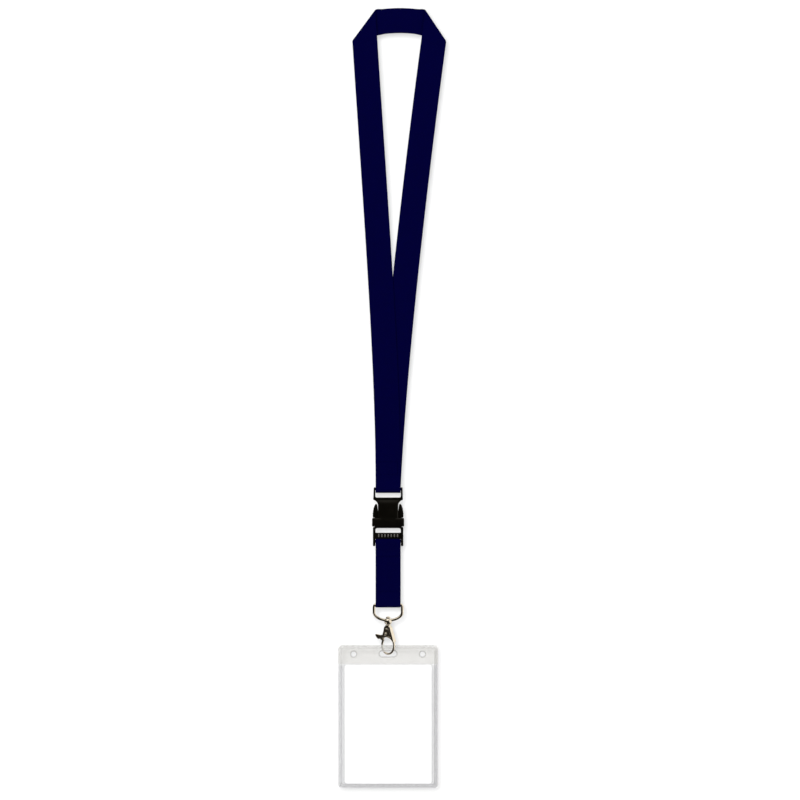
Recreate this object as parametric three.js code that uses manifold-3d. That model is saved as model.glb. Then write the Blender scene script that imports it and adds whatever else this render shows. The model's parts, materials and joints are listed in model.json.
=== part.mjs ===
// A lanyard badge holder, hanging straight down from the neck: a folded ribbon loop, a side-release
// buckle, a short ribbon, a swivel snap hook and a clear vinyl pouch with a card in it.
// Millimetres. +Z is up, the wearer's front faces -Y, and +X is to the right seen from the front.
// The origin is the middle of the neck ribbon's underside, straight above the buckle and the badge.
import * as THREE from "three";
import { mergeVertices } from "three/addons/utils/BufferGeometryUtils.js";
import Module from "manifold-3d";

const wasm = await Module();
wasm.setup();

// ---- driving dimensions ----
const GAP = 0.3; // clearance between pieces that touch

const RIBBON = { width: 20, thick: 0.8, layerGap: 0.15 };
const HALF = RIBBON.width / 2;

// Centre lines of the two runs of the neck ribbon, from the buckle's bar up to each folded corner,
// as the control points (x, z) of a cubic curve.
const BAR_Z = -364.5; // socket bar that the neck ribbon hangs the buckle on
const LEFT_RUN = [[0, BAR_Z], [0.2, -268], [-9.7, -143.5], [-19.3, 4.6]];
const RIGHT_RUN = [[0, BAR_Z], [4.4, -268], [20.6, -123.8], [37.9, 4.4]];
const LEFT_CREASE = 53.5; // slope of each corner's crease, degrees from +X
const RIGHT_CREASE = 123.7;
const CORNER_RADIUS = 0.8; // middle of the ribbon round a crease
const FLAT_BELOW = -14; // below this height the runs are plain, above it they turn to the crease
const TAIL_TOP = -339; // sewn ends of the ribbon, behind the runs
const SPREAD = 9; // how far from a bar the layers come together

const BAR_RADIUS = 1.2;
const SOCKET = {
  frameHalf: 11.85, slotHalf: 10.2, slotBottom: -371.4, frameBottom: -373.6,
  neckHalf: 8.1, neckTop: -376, roof: -375.7, mouthTop: -387.8, mouthBottom: -394.6,
  mouthHalf: 12.85, frameDepth: 3.4, neckDepth: 5.2, mouthDepth: 5.8,
  boreHalf: 11.2, boreDepth: 3.4,
};
const PLUG = {
  half: 12.15, top: -395, bottom: -410.2, depth: 3.2, slotHalf: 10.1, slotTop: -395.8,
  slotBottom: -399.6, toothBottom: -404.4, legHalf: 10.2, barZ: -406.4,
  rootTop: -393.8, rootHalf: 10.8, rootDepth: 2.8, tongueHalf: 2.2, tongueTop: -379.4,
};
const TEETH = { count: 7, pitch: 2.5, width: 1.2, height: 3, proud: 0.5, middle: -401.7 };
const ARM_DEPTH = 2.8;

const RING = {
  wire: 1.1, barZ: -457.2, half: 11.3, cornerWide: 1.3, cornerTall: 2.2, bellyZ: -463.2, drop: 6.4,
};
const HUB = { z: -470.6, radius: 2.8, flat: 2.5, bore: 1.25 };
const PIN = { shank: 0.9, head: 1.9, top: -466.7, bottom: -475.2 };

const HOOK_TURN = THREE.MathUtils.degToRad(-32); // how far the hook is swivelled at rest
const HOOK = {
  centreZ: -489.6, halfWide: 5.6, halfTall: 6.9, wire: 1.8, depth: 2.2, gateDepth: 1.5,
  bodyDepth: 4.2, slotDepth: 2.2, recess: 0.4, collarTop: -473.4, gateFoot: -494.6,
};
const PIVOT = { u: -1.3, z: -480.6, rivet: 0.7, hole: 1.0, head: 1.35 };

const POUCH = {
  half: 40, top: -489.4, bottom: -603.8, corner: 3.2, sheet: 0.3, sheetGap: 0.12,
  weld: 3, headerBottom: -504.6, frontTop: -505,
};
const SLOT = { half: 6.8, top: -494.3, bottom: -498.6 };
const HOLE = { x: 27.5, z: -496.7, radius: 2.1 };
const CARD = { half: 34.75, top: -505.3, bottom: -600.3, corner: 2 };

// ---- finishes ----
const finish = (color, roughness, metalness, extra = {}) =>
  new THREE.MeshStandardMaterial({ color, roughness, metalness, ...extra });
const ribbonCloth = finish(0x050a3c, 0.8, 0);
const blackPlastic = finish(0x17160f, 0.4, 0);
const nickel = finish(0xcfc9bd, 0.18, 1);
const springSteel = finish(0xb4b4b2, 0.3, 1);
const clearVinyl = finish(0xe9e7e5, 0.15, 0, { transparent: true, opacity: 0.35 });
const frostedVinyl = finish(0xe6e2e0, 0.4, 0, { transparent: true, opacity: 0.7 });
const cardPaper = finish(0xffffff, 0.7, 0);

// ---- helpers ----
function solid(geometry) {
  const bare = geometry.clone();
  bare.deleteAttribute("normal");
  bare.deleteAttribute("uv");
  const merged = mergeVertices(bare, 1e-4);
  const mesh = new wasm.Mesh({
    numProp: 3,
    vertProperties: merged.attributes.position.array,
    triVerts: new Uint32Array(merged.index.array),
  });
  return new wasm.Manifold(mesh);
}

function piece(name, made, material) {
  const { vertProperties, triVerts } = made.getMesh();
  const geometry = new THREE.BufferGeometry();
  geometry.setAttribute("position", new THREE.BufferAttribute(vertProperties, 3));
  geometry.setIndex(new THREE.BufferAttribute(triVerts, 1));
  geometry.computeVertexNormals();
  const mesh = new THREE.Mesh(geometry, material);
  mesh.name = name;
  return mesh;
}

// Joins equal loops of points, one after another, into a closed skin.
function skin(loops, endless) {
  const sides = loops[0].length;
  const points = loops.flat();
  const faces = [];
  const runs = endless ? loops.length : loops.length - 1;
  for (let i = 0; i < runs; i++)
    for (let k = 0; k < sides; k++) {
      const a = i * sides + k;
      const b = i * sides + ((k + 1) % sides);
      const c = ((i + 1) % loops.length) * sides + k;
      const d = ((i + 1) % loops.length) * sides + ((k + 1) % sides);
      faces.push(a, b, d, a, d, c);
    }
  if (!endless)
    for (let k = 1; k < sides - 1; k++) {
      const last = (loops.length - 1) * sides;
      faces.push(0, k + 1, k, last, last + k, last + k + 1);
    }
  const geometry = new THREE.BufferGeometry().setFromPoints(points);
  geometry.setIndex(faces);
  const made = solid(geometry);
  if (made.volume() > 0) return made;
  geometry.setIndex(faces.reverse());
  return solid(geometry);
}

const outline = (points) => new THREE.Shape(points.map(([x, z]) => new THREE.Vector2(x, z)));

const bothSides = (points) => [...points, ...points.map(([x, z]) => [-x, z]).reverse()];

function roundedRect(x0, z0, x1, z1, r) {
  const shape = new THREE.Shape();
  shape.absarc(x1 - r, z0 + r, r, -Math.PI / 2, 0);
  shape.absarc(x1 - r, z1 - r, r, 0, Math.PI / 2);
  shape.absarc(x0 + r, z1 - r, r, Math.PI / 2, Math.PI);
  shape.absarc(x0 + r, z0 + r, r, Math.PI, Math.PI * 1.5);
  return shape;
}

// A shape drawn in X and Z, filled from y = front to y = back.
function plate(shape, front, back) {
  const options = { depth: back - front, bevelEnabled: false, curveSegments: 6 };
  const geometry = new THREE.ExtrudeGeometry(shape, options);
  geometry.rotateX(Math.PI / 2);
  geometry.translate(0, back, 0);
  return solid(geometry);
}

const slab = (shape, depth) => plate(shape, -depth / 2, depth / 2);

function box(x0, x1, y0, y1, z0, z1) {
  const geometry = new THREE.BoxGeometry(x1 - x0, y1 - y0, z1 - z0);
  geometry.translate((x0 + x1) / 2, (y0 + y1) / 2, (z0 + z1) / 2);
  return solid(geometry);
}

function crossRod(radius, half, z, sides = 20) {
  const geometry = new THREE.CylinderGeometry(radius, radius, 2 * half, sides);
  geometry.rotateZ(Math.PI / 2);
  geometry.translate(0, 0, z);
  return solid(geometry);
}

function throughRod(radius, x, z, front, back, sides = 20) {
  const geometry = new THREE.CylinderGeometry(radius, radius, back - front, sides);
  geometry.translate(x, (front + back) / 2, z);
  return solid(geometry);
}

// A profile of (radius, height) pairs turned about the Z axis.
function turned(profile, sides = 24) {
  const points = profile.map(([r, z]) => new THREE.Vector2(r, z));
  const geometry = new THREE.LatheGeometry(points, sides);
  geometry.rotateX(Math.PI / 2);
  return solid(geometry);
}

// A round or oval bar along a path in X and Z.
function bentBar(path, wide, deep, endless, sides = 10) {
  const loops = path.map((p, i) => {
    const before = path[endless ? (i + path.length - 1) % path.length : Math.max(i - 1, 0)];
    const after = path[endless ? (i + 1) % path.length : Math.min(i + 1, path.length - 1)];
    const along = new THREE.Vector2().subVectors(after, before).normalize();
    return Array.from({ length: sides }, (_, k) => {
      const a = (2 * Math.PI * k) / sides;
      const across = (wide / 2) * Math.cos(a);
      return new THREE.Vector3(
        p.x - along.y * across, (deep / 2) * Math.sin(a), p.y + along.x * across);
    });
  });
  return skin(loops, endless);
}

function arcPoints(cx, cz, rx, rz, from, to, count) {
  return Array.from({ length: count + 1 }, (_, i) => {
    const a = THREE.MathUtils.degToRad(from + ((to - from) * i) / count);
    return new THREE.Vector2(cx + rx * Math.cos(a), cz + rz * Math.sin(a));
  });
}

// ---- ribbons ----
// A station is where the ribbon is crossed: its two edges and the way its face looks.
const ribbon = (stations, endless = false) =>
  skin(
    stations.map(({ inner, outer, normal }) => {
      const half = normal.clone().multiplyScalar(RIBBON.thick / 2);
      return [
        inner.clone().add(half), outer.clone().add(half),
        outer.clone().sub(half), inner.clone().sub(half),
      ];
    }),
    endless,
  );

function station(centre, across, normal) {
  const reach = across.clone().multiplyScalar(HALF);
  return { inner: centre.clone().add(reach), outer: centre.clone().sub(reach), normal };
}

const smooth = (t) => THREE.MathUtils.smoothstep(t, 0, 1);

// How far a layer stands off the middle plane, at a height away from the bar that it wraps.
function standOff(height, wrapped, pinched) {
  return THREE.MathUtils.lerp(wrapped, pinched, smooth(height / SPREAD));
}

// The ribbon's half turn below (or above) a bar, from behind to the front.
function wrap(barZ, radius, across, up) {
  const count = 8;
  return Array.from({ length: count + 1 }, (_, i) => {
    const a = (Math.PI * i) / count;
    const normal = new THREE.Vector3(0, Math.cos(a), up * Math.sin(a));
    const centre = normal.clone().multiplyScalar(radius);
    centre.z += barZ;
    return station(centre, across, normal);
  });
}

function atHeight(curve, z) {
  let low = 0;
  let high = 1;
  for (let i = 0; i < 40; i++) {
    const middle = (low + high) / 2;
    if (curve.getPoint(middle).y < z) low = middle;
    else high = middle;
  }
  return low;
}

// One run of the neck ribbon from the bar upward, its face to the front.
function run(curve, depth, inward) {
  const near = [1.5, 3, 4.5, 6, 7.5, SPREAD].map((h) => BAR_Z + h);
  const far = Array.from({ length: 15 }, (_, i) => FLAT_BELOW + (i * (BAR_Z + 26)) / 15).reverse();
  return [...near, ...far].map((z) => {
    const t = atHeight(curve, z);
    const p = curve.getPoint(t);
    const along = curve.getTangent(t);
    const across = new THREE.Vector3(along.y, 0, -along.x).multiplyScalar(inward);
    const slope = depth(z + 0.1) - depth(z - 0.1);
    const normal = new THREE.Vector3(0, -0.2, slope).normalize();
    return station(new THREE.Vector3(p.x, depth(z), z), across, normal);
  });
}

// The ribbon turned over an oblique crease, from the front to behind.
function corner(curve, depth, creaseDegrees, inward) {
  const end = curve.getPoint(1);
  const lead = curve.getTangent(1);
  const crease = THREE.MathUtils.degToRad(creaseDegrees);
  const line = new THREE.Vector3(Math.cos(crease), 0, Math.sin(crease));
  const out = new THREE.Vector3(-line.z * inward, 0, line.x * inward);
  const along = new THREE.Vector3(lead.x, 0, lead.y);
  const across = new THREE.Vector3(lead.y, 0, -lead.x).multiplyScalar(inward);
  const drift = (CORNER_RADIUS * along.dot(line)) / along.dot(out);
  const edge = (side) => {
    const reach = side * HALF;
    return new THREE.Vector3(end.x, depth, end.y)
      .addScaledVector(across, reach)
      .addScaledVector(along, (-reach * across.dot(out)) / along.dot(out));
  };
  const count = 8;
  const stations = Array.from({ length: count + 1 }, (_, i) => {
    const a = (Math.PI * i) / count;
    const lift = new THREE.Vector3(0, CORNER_RADIUS * (1 - Math.cos(a)), 0)
      .addScaledVector(out, CORNER_RADIUS * Math.sin(a))
      .addScaledVector(line, drift * a);
    const normal = new THREE.Vector3(0, -Math.cos(a), 0).addScaledVector(out, Math.sin(a));
    return { inner: edge(1).add(lift), outer: edge(-1).add(lift), normal };
  });
  const leave = line.clone().multiplyScalar(along.dot(line));
  leave.addScaledVector(out, -along.dot(out));
  const centre = new THREE.Vector3(end.x, depth + 2 * CORNER_RADIUS, end.y);
  centre.addScaledVector(line, drift * Math.PI);
  return { stations, leave, centre };
}

function neckRibbon() {
  const pitch = RIBBON.thick + RIBBON.layerGap;
  const innerWrap = BAR_RADIUS + GAP + RIBBON.thick / 2;
  const outerWrap = innerWrap + pitch;
  const innerFlat = pitch / 2;
  const outerFlat = innerFlat + pitch;
  const right = new THREE.Vector3(1, 0, 0);
  const left = new THREE.Vector3(-1, 0, 0);
  const curveOf = (points) =>
    new THREE.CubicBezierCurve(...points.map(([x, z]) => new THREE.Vector2(x, z)));
  const leftCurve = curveOf(LEFT_RUN);
  const rightCurve = curveOf(RIGHT_RUN);
  const leftDepth = (z) => -standOff(z - BAR_Z, outerWrap, outerFlat);
  const passesBehind = (z) => smooth((z + 160) / 110); // the right run comes forward above the V
  const rightDepth = (z) =>
    -THREE.MathUtils.lerp(standOff(z - BAR_Z, innerWrap, innerFlat), outerFlat, passesBehind(z));
  const tail = (wrapped, flat, across, top) =>
    [0.2, 0.4, 0.6, 0.8, 1, 1.8, (top - BAR_Z) / SPREAD].map((share) => {
      const height = share * SPREAD;
      const y = standOff(height, wrapped, flat);
      return station(
        new THREE.Vector3(0, y, BAR_Z + height), across, new THREE.Vector3(0, 1, 0));
    });
  const leftCorner = corner(leftCurve, -outerFlat, LEFT_CREASE, 1);
  const rightCorner = corner(rightCurve, -outerFlat, RIGHT_CREASE, -1);
  const pull = leftCorner.centre.distanceTo(rightCorner.centre) / 3;
  const over = new THREE.CubicBezierCurve3(
    leftCorner.centre,
    leftCorner.centre.clone().addScaledVector(leftCorner.leave, pull),
    rightCorner.centre.clone().addScaledVector(rightCorner.leave, pull),
    rightCorner.centre,
  );
  const behindNeck = Array.from({ length: 9 }, (_, i) => {
    const t = 0.26 + (0.48 * i) / 8;
    const along = over.getTangent(t);
    const across = new THREE.Vector3(-along.z, 0, along.x);
    return station(over.getPoint(t), across, new THREE.Vector3(0, 1, 0));
  });
  return ribbon([
    ...tail(outerWrap, outerFlat, right, TAIL_TOP).reverse(),
    ...wrap(BAR_Z, outerWrap, right, -1),
    ...run(leftCurve, leftDepth, 1),
    ...leftCorner.stations,
    ...behindNeck,
    ...rightCorner.stations.reverse(),
    ...run(rightCurve, rightDepth, -1).reverse(),
    ...wrap(BAR_Z, innerWrap, left, -1).reverse(),
    ...tail(innerWrap, innerFlat, left, TAIL_TOP - 2),
  ]);
}

function shortRibbon() {
  const topWrap = BAR_RADIUS + GAP + RIBBON.thick / 2;
  const lowWrap = RING.wire + GAP + RIBBON.thick / 2;
  const flat = (RIBBON.thick + GAP) / 2;
  const across = new THREE.Vector3(1, 0, 0);
  const length = PLUG.barZ - RING.barZ;
  const side = (face) =>
    Array.from({ length: 19 }, (_, i) => {
      const drop = (length * (i + 1)) / 20;
      const y = Math.max(standOff(drop, topWrap, flat), standOff(length - drop, lowWrap, flat));
      const centre = new THREE.Vector3(0, face * y, PLUG.barZ - drop);
      return station(centre, across, new THREE.Vector3(0, face, 0));
    });
  return ribbon(
    [
      ...wrap(PLUG.barZ, topWrap, across, 1),
      ...side(-1),
      ...wrap(RING.barZ, lowWrap, across, -1).reverse(),
      ...side(1).reverse(),
    ],
    true,
  );
}

// ---- buckle ----
function socketBody() {
  const s = SOCKET;
  const top = BAR_Z + BAR_RADIUS;
  const frame = slab(roundedRect(-s.frameHalf, s.frameBottom, s.frameHalf, top, 1), s.frameDepth);
  const ribbonSlot = roundedRect(-s.slotHalf, s.slotBottom, s.slotHalf, top + 2, 1.2);
  const neck = outline(bothSides([
    [s.frameHalf - 1.2, s.frameBottom + 0.8], [s.neckHalf + 0.7, s.neckTop + 0.5],
    [s.neckHalf, s.neckTop - 1], [s.neckHalf, s.mouthTop - 0.5],
  ]));
  const mouth = roundedRect(-s.mouthHalf, s.mouthBottom, s.mouthHalf, s.mouthTop, 0.9);
  const chamber = box(-20, 20, -s.boreDepth / 2, s.boreDepth / 2, s.mouthTop, s.roof);
  const bore = box(
    -s.boreHalf, s.boreHalf, -s.boreDepth / 2, s.boreDepth / 2, s.mouthBottom - 2, s.mouthTop + 2);
  return frame
    .subtract(slab(ribbonSlot, 10))
    .add(crossRod(BAR_RADIUS, s.frameHalf - 0.4, BAR_Z))
    .add(slab(neck, s.neckDepth).subtract(chamber))
    .add(slab(mouth, s.mouthDepth))
    .subtract(bore);
}

function plugBody() {
  const p = PLUG;
  const frame = slab(roundedRect(-p.half, p.bottom, p.half, p.top, 0.9), p.depth);
  const upperSlot = outline(bothSides([
    [p.slotHalf - 1.4, p.slotTop], [p.slotHalf, p.slotTop - 1.4], [p.slotHalf, p.slotBottom],
  ]));
  const lowerSlot = roundedRect(-p.legHalf, p.bottom - 4, p.legHalf, p.toothBottom, 0.6);
  const rootHalfDepth = p.rootDepth / 2;
  const root = box(-p.rootHalf, p.rootHalf, -rootHalfDepth, rootHalfDepth, p.top - 0.5, p.rootTop);
  const tongue = outline(bothSides([
    [p.tongueHalf, p.rootTop - 0.5], [p.tongueHalf, p.tongueTop - 2],
    [p.tongueHalf * 0.5, p.tongueTop],
  ]));
  const ribbonRoom = crossRod(BAR_RADIUS + RIBBON.thick + 2 * GAP, p.legHalf, p.barZ);
  let body = frame.subtract(slab(upperSlot, 10)).subtract(slab(lowerSlot, 10)).subtract(ribbonRoom);
  body = body.add(root).add(slab(tongue, 2.4)).add(crossRod(BAR_RADIUS, p.half - 0.5, p.barZ));
  for (let i = 0; i < TEETH.count; i++) {
    const x = (i - (TEETH.count - 1) / 2) * TEETH.pitch;
    const front = -p.depth / 2 - TEETH.proud;
    body = body.add(box(
      x - TEETH.width / 2, x + TEETH.width / 2, front, 0,
      TEETH.middle - TEETH.height / 2, TEETH.middle + TEETH.height / 2));
  }
  return body;
}

// A sprung arm of the plug, the right one for side = 1: its pad shows beside the socket's neck,
// and its shoulder rests on the mouth ring.
function releaseArm(side) {
  const points = [
    [8, -393.5], [10.5, -393.5], [10.5, -388.4], [10.7, -387.4], [12.1, -387.4], [12.3, -385.4],
    [12, -382], [11.4, -379], [10.6, -377.2], [9.6, -376.3], [8.8, -376.9], [8.5, -379],
    [8.2, -382], [8, -385],
  ];
  return slab(outline(points.map(([x, z]) => [side * x, z])), ARM_DEPTH);
}

// ---- ring and hook ----
function strapRing() {
  const { cornerWide, cornerTall } = RING;
  const cornerX = RING.half - cornerWide;
  const cornerZ = RING.barZ - cornerTall;
  const path = [
    ...arcPoints(cornerX, cornerZ, cornerWide, cornerTall, 90, 0, 5),
    ...arcPoints(0, RING.bellyZ, RING.half, RING.drop, 0, -180, 24),
    ...arcPoints(-cornerX, cornerZ, cornerWide, cornerTall, 180, 90, 5),
  ];
  const hub = turned(ballProfile(HUB.z, HUB.radius, HUB.flat));
  const bore = turned([[0, HUB.z - 5], [HUB.bore, HUB.z - 5], [HUB.bore, HUB.z + 5], [0, HUB.z + 5]]);
  return bentBar(path, 2 * RING.wire, 2 * RING.wire, true).add(hub).subtract(bore);
}

// A ball with flats at the top and the bottom.
function ballProfile(z, radius, flat) {
  const limit = Math.asin(flat / radius);
  const profile = [[0, z - flat]];
  for (let i = 0; i <= 8; i++) {
    const a = -limit + (2 * limit * i) / 8;
    profile.push([radius * Math.cos(a), z + radius * Math.sin(a)]);
  }
  profile.push([0, z + flat]);
  return profile;
}

function swivelPin() {
  const underHead = HUB.z + HUB.flat + GAP;
  return turned([
    [0, PIN.bottom], [PIN.shank - 0.2, PIN.bottom], [PIN.shank, PIN.bottom + 0.2],
    [PIN.shank, underHead], [PIN.head, underHead], [PIN.head, underHead + 0.35],
    [PIN.head * 0.7, PIN.top - 0.2], [PIN.head * 0.3, PIN.top], [0, PIN.top],
  ]);
}

function hookBody() {
  const h = HOOK;
  const body = slab(outline([
    [-2.6, -474.6], [2.6, -474.6], [5.7, -483.8], [6.2, -486.4], [5.4, -486.8], [-4.6, -483.2],
  ]), h.bodyDepth);
  const gateSlot = box(-20, 2.6, -h.slotDepth / 2, h.slotDepth / 2, -500, -477);
  const face = outline([[-2, -476], [1.6, -476], [4, -483.2], [-4.4, -484.4], [-5, -483]]);
  const faceBack = h.bodyDepth / 2;
  const collarRadius = 2.4;
  const collar = turned([
    [0, -476], [collarRadius, -476], [collarRadius, h.collarTop - 0.4],
    [collarRadius - 0.4, h.collarTop], [0, h.collarTop],
  ]);
  const pinHole = turned([
    [0, PIN.bottom - GAP], [PIN.shank + GAP, PIN.bottom - GAP], [PIN.shank + GAP, -470], [0, -470],
  ]);
  const curve = arcPoints(0, h.centreZ, h.halfWide, h.halfTall, 58, -138, 28);
  const aboveTip = box(-8, -1, -5, 5, h.gateFoot - 0.35, h.centreZ);
  const opening = new THREE.Shape(
    arcPoints(0, h.centreZ, h.halfWide - h.wire / 2, h.halfTall - h.wire / 2, 0, 360, 28)
      .slice(0, -1));
  return body
    .subtract(gateSlot)
    .subtract(plate(face, -faceBack - 1, -faceBack + h.recess))
    .subtract(plate(face, faceBack - h.recess, faceBack + 1))
    .subtract(slab(opening, 10))
    .add(collar)
    .subtract(pinHole)
    .add(bentBar(curve, h.wire, h.depth, false).subtract(aboveTip))
    .subtract(throughRod(PIVOT.hole, PIVOT.u, PIVOT.z, -5, 5));
}

// The gate closes on the hook's tip along a level cut, so that it can swing inward past it.
function gateLever() {
  const h = HOOK;
  const arm = arcPoints(0, h.centreZ, h.halfWide, h.halfTall, 138, 236, 15);
  const belowFoot = box(-10, 10, -5, 5, h.gateFoot - 10, h.gateFoot);
  const thumb = outline([
    [-4.9, -481.9], [-11.2, -481.2], [-11.1, -482.2], [-9.8, -483.7], [-8.1, -484.6],
    [-6.6, -484.2], [-5.8, -486], [-4.4, -485.4],
  ]);
  const web = outline([
    [PIVOT.u - 0.6, PIVOT.z + 2], [-3.6, -480.1], [-5.4, -482], [-5.6, -485.2], [-4.5, -485.6],
    [-3.3, -483.4], [-0.8, -482.5], [PIVOT.u + 1.7, PIVOT.z - 1], [PIVOT.u + 1.7, PIVOT.z + 1],
  ]);
  return bentBar(arm, h.wire, h.gateDepth, false)
    .subtract(belowFoot)
    .add(slab(thumb, h.gateDepth))
    .add(plate(web, -0.1, h.gateDepth / 2))
    .subtract(throughRod(PIVOT.hole, PIVOT.u, PIVOT.z, -5, 5));
}

function gateRivet() {
  const cheek = HOOK.bodyDepth / 2 - HOOK.recess;
  const headIn = cheek + GAP;
  const headOut = headIn + 0.5;
  return throughRod(PIVOT.rivet, PIVOT.u, PIVOT.z, -headIn - 0.1, headIn + 0.1)
    .add(throughRod(PIVOT.head, PIVOT.u, PIVOT.z, -headOut, -headIn))
    .add(throughRod(PIVOT.head, PIVOT.u, PIVOT.z, headIn, headOut));
}

// A torsion spring round the rivet: one leg on the gate, the other in the body.
function gateSpring() {
  const coil = 1.3;
  const wire = 0.13;
  const turns = 2;
  const front = -0.88;
  const pitch = 0.27;
  const points = [new THREE.Vector3(PIVOT.u + coil, front, PIVOT.z + 2.4)];
  for (let i = 0; i <= turns * 12; i++) {
    const a = (i / 12) * 2 * Math.PI;
    points.push(new THREE.Vector3(
      PIVOT.u + coil * Math.cos(a), front + pitch * (i / 12), PIVOT.z - coil * Math.sin(a)));
  }
  points.push(new THREE.Vector3(PIVOT.u + coil, front + pitch * turns, PIVOT.z - 1.6));
  const section = new THREE.Shape().absarc(0, 0, wire, 0, 2 * Math.PI);
  const path = new THREE.CatmullRomCurve3(points, false, "centripetal");
  const options = { extrudePath: path, steps: 64, curveSegments: 3 };
  return solid(new THREE.ExtrudeGeometry(section, options));
}

// ---- pouch and card ----
const pitchY = POUCH.sheet + POUCH.sheetGap;
const layer = (shape, place) =>
  plate(shape, place * pitchY - POUCH.sheet / 2, place * pitchY + POUCH.sheet / 2);

function punched(sheet) {
  const radius = (SLOT.top - SLOT.bottom) / 2 - 0.05;
  const slot = roundedRect(-SLOT.half, SLOT.bottom, SLOT.half, SLOT.top, radius);
  return sheet
    .subtract(slab(slot, 10))
    .subtract(throughRod(HOLE.radius, HOLE.x, HOLE.z, -5, 5))
    .subtract(throughRod(HOLE.radius, -HOLE.x, HOLE.z, -5, 5));
}

const pouchOutline = () => roundedRect(-POUCH.half, POUCH.bottom, POUCH.half, POUCH.top, POUCH.corner);

function frontPart(from, to) {
  return layer(pouchOutline(), -1).intersect(box(-POUCH.half, POUCH.half, -5, 5, from, to));
}

function edgeWeld() {
  const p = POUCH;
  const pocket = roundedRect(
    -p.half + p.weld, p.bottom + p.weld, p.half - p.weld, p.top - p.weld, 1.5);
  return layer(pouchOutline(), 0).subtract(slab(pocket, 10));
}

const cardSheet = () =>
  layer(roundedRect(-CARD.half, CARD.bottom, CARD.half, CARD.top, CARD.corner), 0);

// ---- assembly ----
const lanyard = new THREE.Group();
lanyard.add(piece("neck_strap", neckRibbon(), ribbonCloth));
lanyard.add(piece("short_strap", shortRibbon(), ribbonCloth));
lanyard.add(piece("buckle_socket", socketBody(), blackPlastic));
lanyard.add(piece("buckle_plug", plugBody(), blackPlastic));
lanyard.add(piece("release_arm_left", releaseArm(-1), blackPlastic));
lanyard.add(piece("release_arm_right", releaseArm(1), blackPlastic));
lanyard.add(piece("strap_ring", strapRing(), nickel));

const hook = new THREE.Group();
hook.rotation.z = HOOK_TURN;
hook.add(piece("swivel_pin", swivelPin(), nickel));
hook.add(piece("hook_body", hookBody(), nickel));
hook.add(piece("gate_lever", gateLever(), nickel));
hook.add(piece("gate_rivet", gateRivet(), nickel));
hook.add(piece("gate_spring", gateSpring(), springSteel));
lanyard.add(hook);

lanyard.add(piece("pouch_back_sheet", punched(layer(pouchOutline(), 1)), clearVinyl));
lanyard.add(piece("pouch_edge_weld", edgeWeld(), clearVinyl));
lanyard.add(piece("pouch_front_sheet", frontPart(POUCH.bottom, POUCH.frontTop), clearVinyl));
lanyard.add(piece(
  "pouch_header_strip", punched(frontPart(POUCH.headerBottom, POUCH.top)), frostedVinyl));
lanyard.add(piece("card_insert", cardSheet(), cardPaper));

export default lanyard;
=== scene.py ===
"""A lanyard badge holder: the fine pieces, finishes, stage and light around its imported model.

Pieces are drawn in millimetres and scaled to metres as they are made. +Z is up and the wearer's
front faces -Y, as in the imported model.
"""

import json
import math

import bmesh
import bpy
from mathutils import Matrix, Vector

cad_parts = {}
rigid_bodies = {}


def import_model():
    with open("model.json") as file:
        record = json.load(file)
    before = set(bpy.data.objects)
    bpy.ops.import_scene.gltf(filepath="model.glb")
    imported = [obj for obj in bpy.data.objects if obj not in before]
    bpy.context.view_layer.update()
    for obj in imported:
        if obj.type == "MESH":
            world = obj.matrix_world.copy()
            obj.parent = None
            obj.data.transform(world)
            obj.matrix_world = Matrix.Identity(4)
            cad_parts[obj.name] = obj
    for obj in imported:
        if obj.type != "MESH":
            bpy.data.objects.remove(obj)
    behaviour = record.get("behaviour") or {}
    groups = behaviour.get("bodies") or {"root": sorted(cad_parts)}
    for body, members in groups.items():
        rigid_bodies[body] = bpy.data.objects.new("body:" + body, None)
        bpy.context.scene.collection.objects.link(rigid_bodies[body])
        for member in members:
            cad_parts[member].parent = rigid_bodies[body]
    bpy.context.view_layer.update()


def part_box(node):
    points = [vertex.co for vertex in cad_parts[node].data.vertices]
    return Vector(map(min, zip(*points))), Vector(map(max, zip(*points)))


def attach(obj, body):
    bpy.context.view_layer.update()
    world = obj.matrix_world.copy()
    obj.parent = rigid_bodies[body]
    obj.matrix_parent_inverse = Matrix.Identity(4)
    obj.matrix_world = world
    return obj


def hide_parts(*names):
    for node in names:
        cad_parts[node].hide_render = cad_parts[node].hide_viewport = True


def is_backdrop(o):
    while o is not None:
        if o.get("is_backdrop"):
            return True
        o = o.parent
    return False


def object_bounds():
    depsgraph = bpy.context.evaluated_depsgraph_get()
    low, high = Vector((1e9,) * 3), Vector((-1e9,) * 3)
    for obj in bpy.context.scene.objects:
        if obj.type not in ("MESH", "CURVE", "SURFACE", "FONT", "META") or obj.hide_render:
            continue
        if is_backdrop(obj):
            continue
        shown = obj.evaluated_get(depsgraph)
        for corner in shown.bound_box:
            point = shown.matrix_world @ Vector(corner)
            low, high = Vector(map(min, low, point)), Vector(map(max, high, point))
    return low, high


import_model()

MM = 0.001
RIGHT = Vector((1, 0, 0))
UP = Vector((0, 0, 1))


# ---- nodes
def add(owner, kind, inputs=None, **settings):
    """A new node in a material or a world. An input takes a value or another node's output."""
    tree = owner.node_tree
    node = tree.nodes.new(kind)
    for key, value in settings.items():
        setattr(node, key, value)
    for key, value in (inputs or {}).items():
        if isinstance(value, bpy.types.NodeSocket):
            tree.links.new(value, node.inputs[key])
        else:
            node.inputs[key].default_value = value
    return node


def without_nodes(made):
    """A new material or world, ready for nodes of its own."""
    made.use_nodes = True
    made.node_tree.nodes.clear()
    return made


def mixed(owner, share, first, second):
    """From the first shader to the second as the share goes from 0 to 1."""
    return add(owner, "ShaderNodeMixShader", {0: share, 1: first, 2: second}).outputs[0]


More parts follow.
